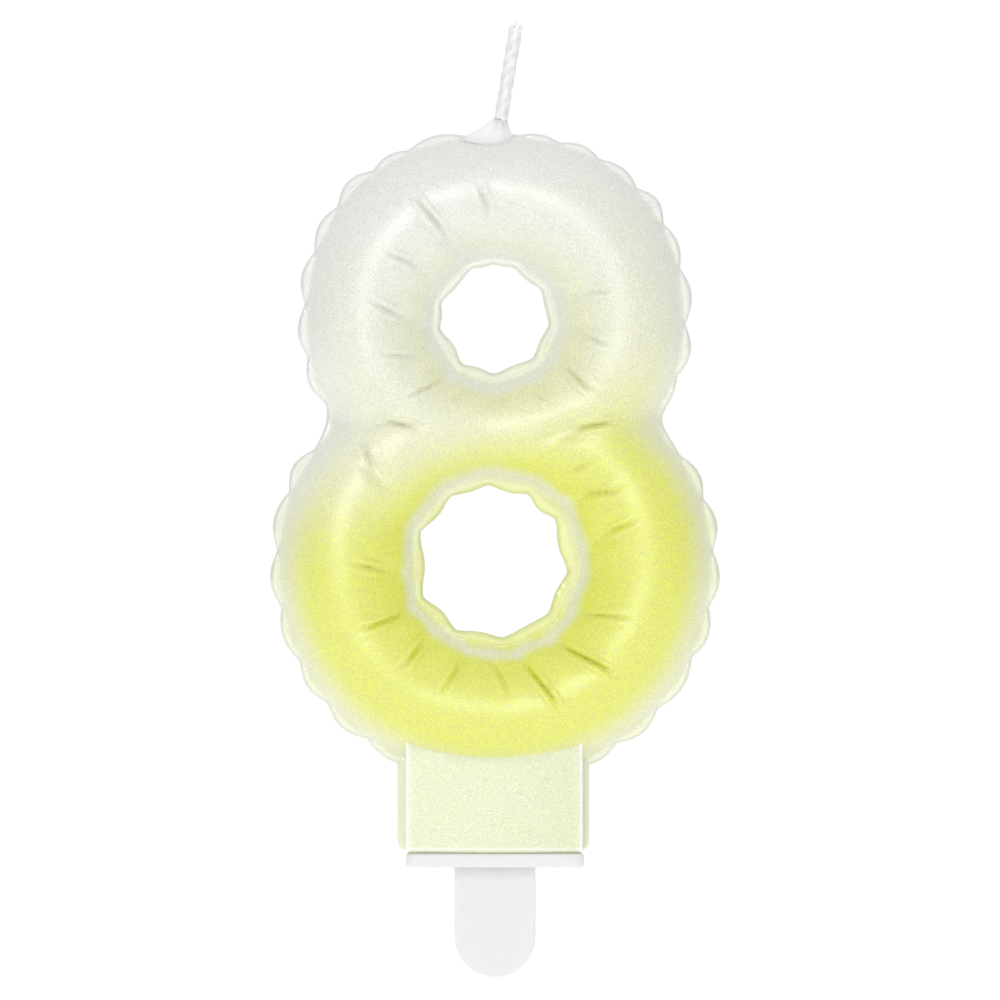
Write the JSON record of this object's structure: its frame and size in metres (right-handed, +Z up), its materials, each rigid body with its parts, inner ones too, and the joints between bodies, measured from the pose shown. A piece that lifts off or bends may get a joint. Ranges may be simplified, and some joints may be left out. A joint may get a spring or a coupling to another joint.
{
  "type": "number birthday candle",
  "caption": "Wax birthday candle shaped like a puffed foil-balloon figure 8, fading from white to yellow, with a leaning waxed wick and a plastic cake pick.",
  "frame": {"origin": "middle of the stop plate's underside, where the candle rests on the cake", "axes": "+Z up along the number, +X to the reader's right, +Y away from the reader through the number's depth"},
  "size_m": [0.0508, 0.012, 0.1079],
  "materials": {
    "pearl_wax": "pearly wax, white at the top and yellow below",
    "clear_wax": "translucent white wax",
    "cotton": "plied white cotton",
    "pick_plastic": "natural moulded polypropylene, satin"
  },
  "bodies": {
    "pick": {"cake_pick": "pick_plastic"},
    "candle": {"wax_number": "pearl_wax", "wick_seal": "clear_wax", "wick_wax_coat": "clear_wax", "wick_strand_1": "cotton", "wick_strand_2": "cotton", "wick_strand_3": "cotton"}
  },
  "joints": [
    {"name": "candle_lift", "type": "slide", "parent": "pick", "child": "candle", "axis": [0, 0, 1], "range_m": [0, 0.01]}
  ]
}
